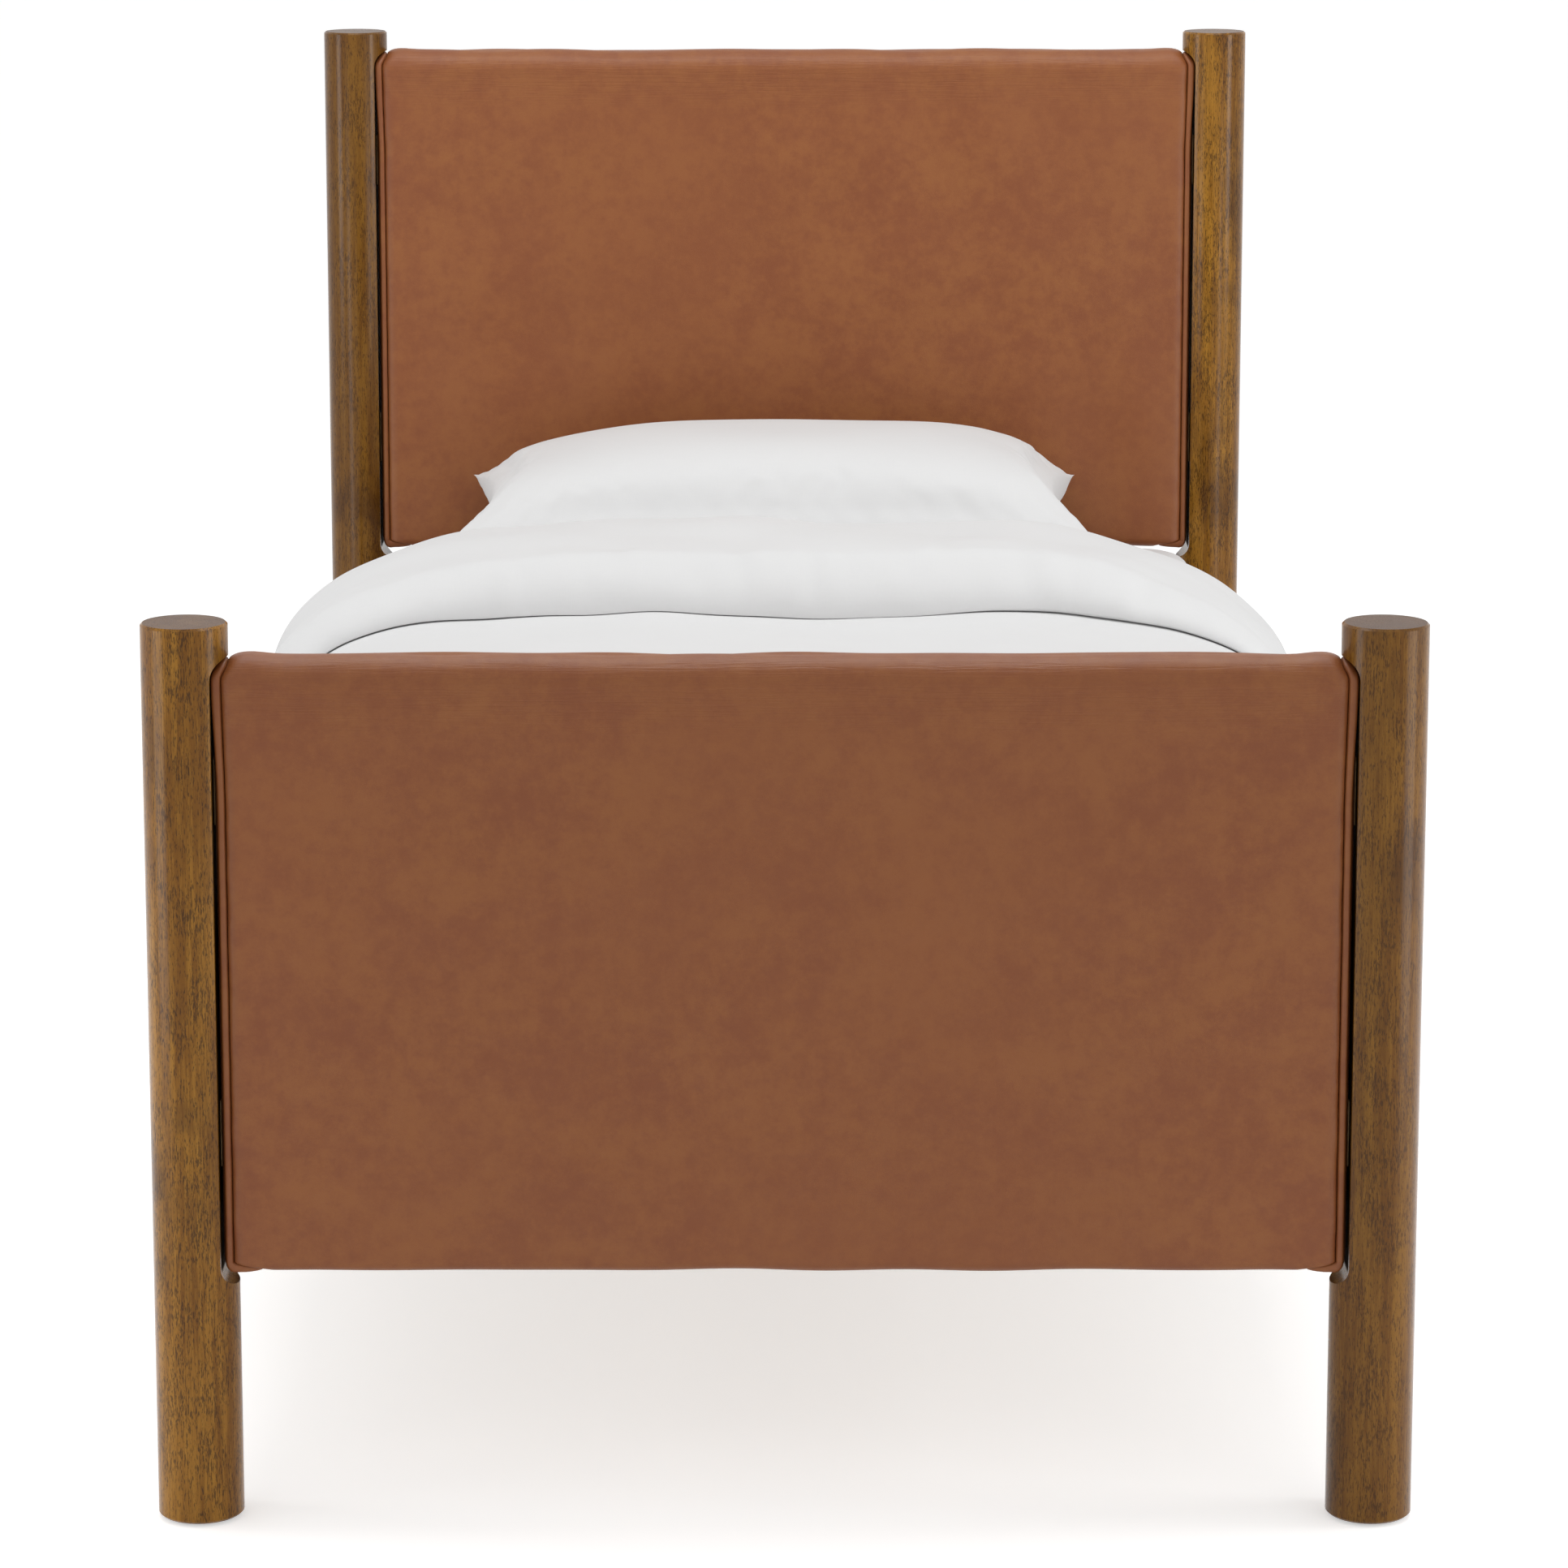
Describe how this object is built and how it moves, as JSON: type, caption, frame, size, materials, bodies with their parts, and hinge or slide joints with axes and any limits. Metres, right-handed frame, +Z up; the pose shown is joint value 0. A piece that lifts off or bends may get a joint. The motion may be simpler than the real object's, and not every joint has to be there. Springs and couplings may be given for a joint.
{
  "type": "platform bed",
  "caption": "Twin platform bed with round wooden posts, padded leather headboard and footboard, slatted rails on a centre beam, and a made-up mattress, duvet and pillow.",
  "frame": {"origin": "on the floor, under the middle of the bed", "axes": "+Z up; +Y from the foot of the bed to its head; +X to the right seen from the foot"},
  "size_m": [1.151, 2.0609, 1.17],
  "materials": {
    "walnut": "satin",
    "brown_leather": "satin",
    "foam": "matte",
    "plywood": "matte",
    "hardwood_tenon": "matte",
    "pine": "matte",
    "webbing": "matte",
    "zinc_steel": "satin",
    "black_nylon": "matte",
    "mattress_ticking": "matte",
    "white_cotton": "matte"
  },
  "bodies": {
    "frame": {"head_post_left": "walnut", "head_post_right": "walnut", "foot_post_left": "walnut", "foot_post_right": "walnut", "side_rail_left": "walnut", "side_rail_right": "walnut", "head_cross_rail": "walnut", "headboard_cover": "brown_leather", "headboard_end_left": "brown_leather", "headboard_end_right": "brown_leather", "footboard_cover": "brown_leather", "footboard_end_left": "brown_leather", "footboard_end_right": "brown_leather", "headboard_foam": "foam", "footboard_foam": "foam", "headboard_core": "plywood", "footboard_core": "plywood", "headboard_tenons": "hardwood_tenon", "footboard_tenons": "hardwood_tenon", "cross_rail_tenons": "hardwood_tenon", "slat_01": "pine", "slat_02": "pine", "slat_03": "pine", "slat_04": "pine", "slat_05": "pine", "slat_06": "pine", "slat_07": "pine", "slat_08": "pine", "slat_09": "pine", "slat_10": "pine", "slat_11": "pine", "slat_12": "pine", "slat_13": "pine", "slat_ledge_left": "pine", "slat_ledge_right": "pine", "foot_cleat": "pine", "centre_rail": "pine", "centre_leg_front": "pine", "centre_leg_rear": "pine", "slat_strap_left": "webbing", "slat_strap_right": "webbing", "post_plates": "zinc_steel", "rail_hook_plates": "zinc_steel", "centre_hanger_head": "zinc_steel", "centre_hanger_foot": "zinc_steel", "leg_inserts": "zinc_steel", "post_glides": "black_nylon"},
    "mattress": {"mattress": "mattress_ticking"},
    "duvet": {"duvet": "white_cotton"},
    "pillow": {"pillow": "white_cotton"},
    "front_pad": {"leveller_pad_front": "black_nylon"},
    "front_stud": {"leveller_stud_front": "zinc_steel"},
    "rear_pad": {"leveller_pad_rear": "black_nylon"},
    "rear_stud": {"leveller_stud_rear": "zinc_steel"}
  },
  "joints": [
    {"name": "mattress_lift", "type": "slide", "parent": "frame", "child": "mattress", "axis": [0, 0, 1], "range_m": [0, 0.85]},
    {"name": "duvet_lift", "type": "slide", "parent": "mattress", "child": "duvet", "axis": [0, 0, 1], "range_m": [0, 0.3]},
    {"name": "pillow_lift", "type": "slide", "parent": "mattress", "child": "pillow", "axis": [0, 0, 1], "range_m": [0, 0.3]},
    {"name": "front_foot_height", "type": "slide", "parent": "frame", "child": "front_pad", "axis": [0, 0, 1], "range_m": [-0.01, 0.01]},
    {"name": "front_stud_turn", "type": "hinge", "parent": "front_pad", "child": "front_stud", "pos_m": [0, -0.12, 0.03], "axis": [0, 0, 1], "range_deg": [-2400, 2400]},
    {"name": "rear_foot_height", "type": "slide", "parent": "frame", "child": "rear_pad", "axis": [0, 0, 1], "range_m": [-0.01, 0.01]},
    {"name": "rear_stud_turn", "type": "hinge", "parent": "rear_pad", "child": "rear_stud", "pos_m": [0, 0.42, 0.03], "axis": [0, 0, 1], "range_deg": [-2400, 2400]}
  ],
  "couplings": [
    {"joint": "front_foot_height", "follows": "front_stud_turn", "m_per_rad": 0.00023873},
    {"joint": "rear_foot_height", "follows": "rear_stud_turn", "m_per_rad": 0.00023873}
  ]
}
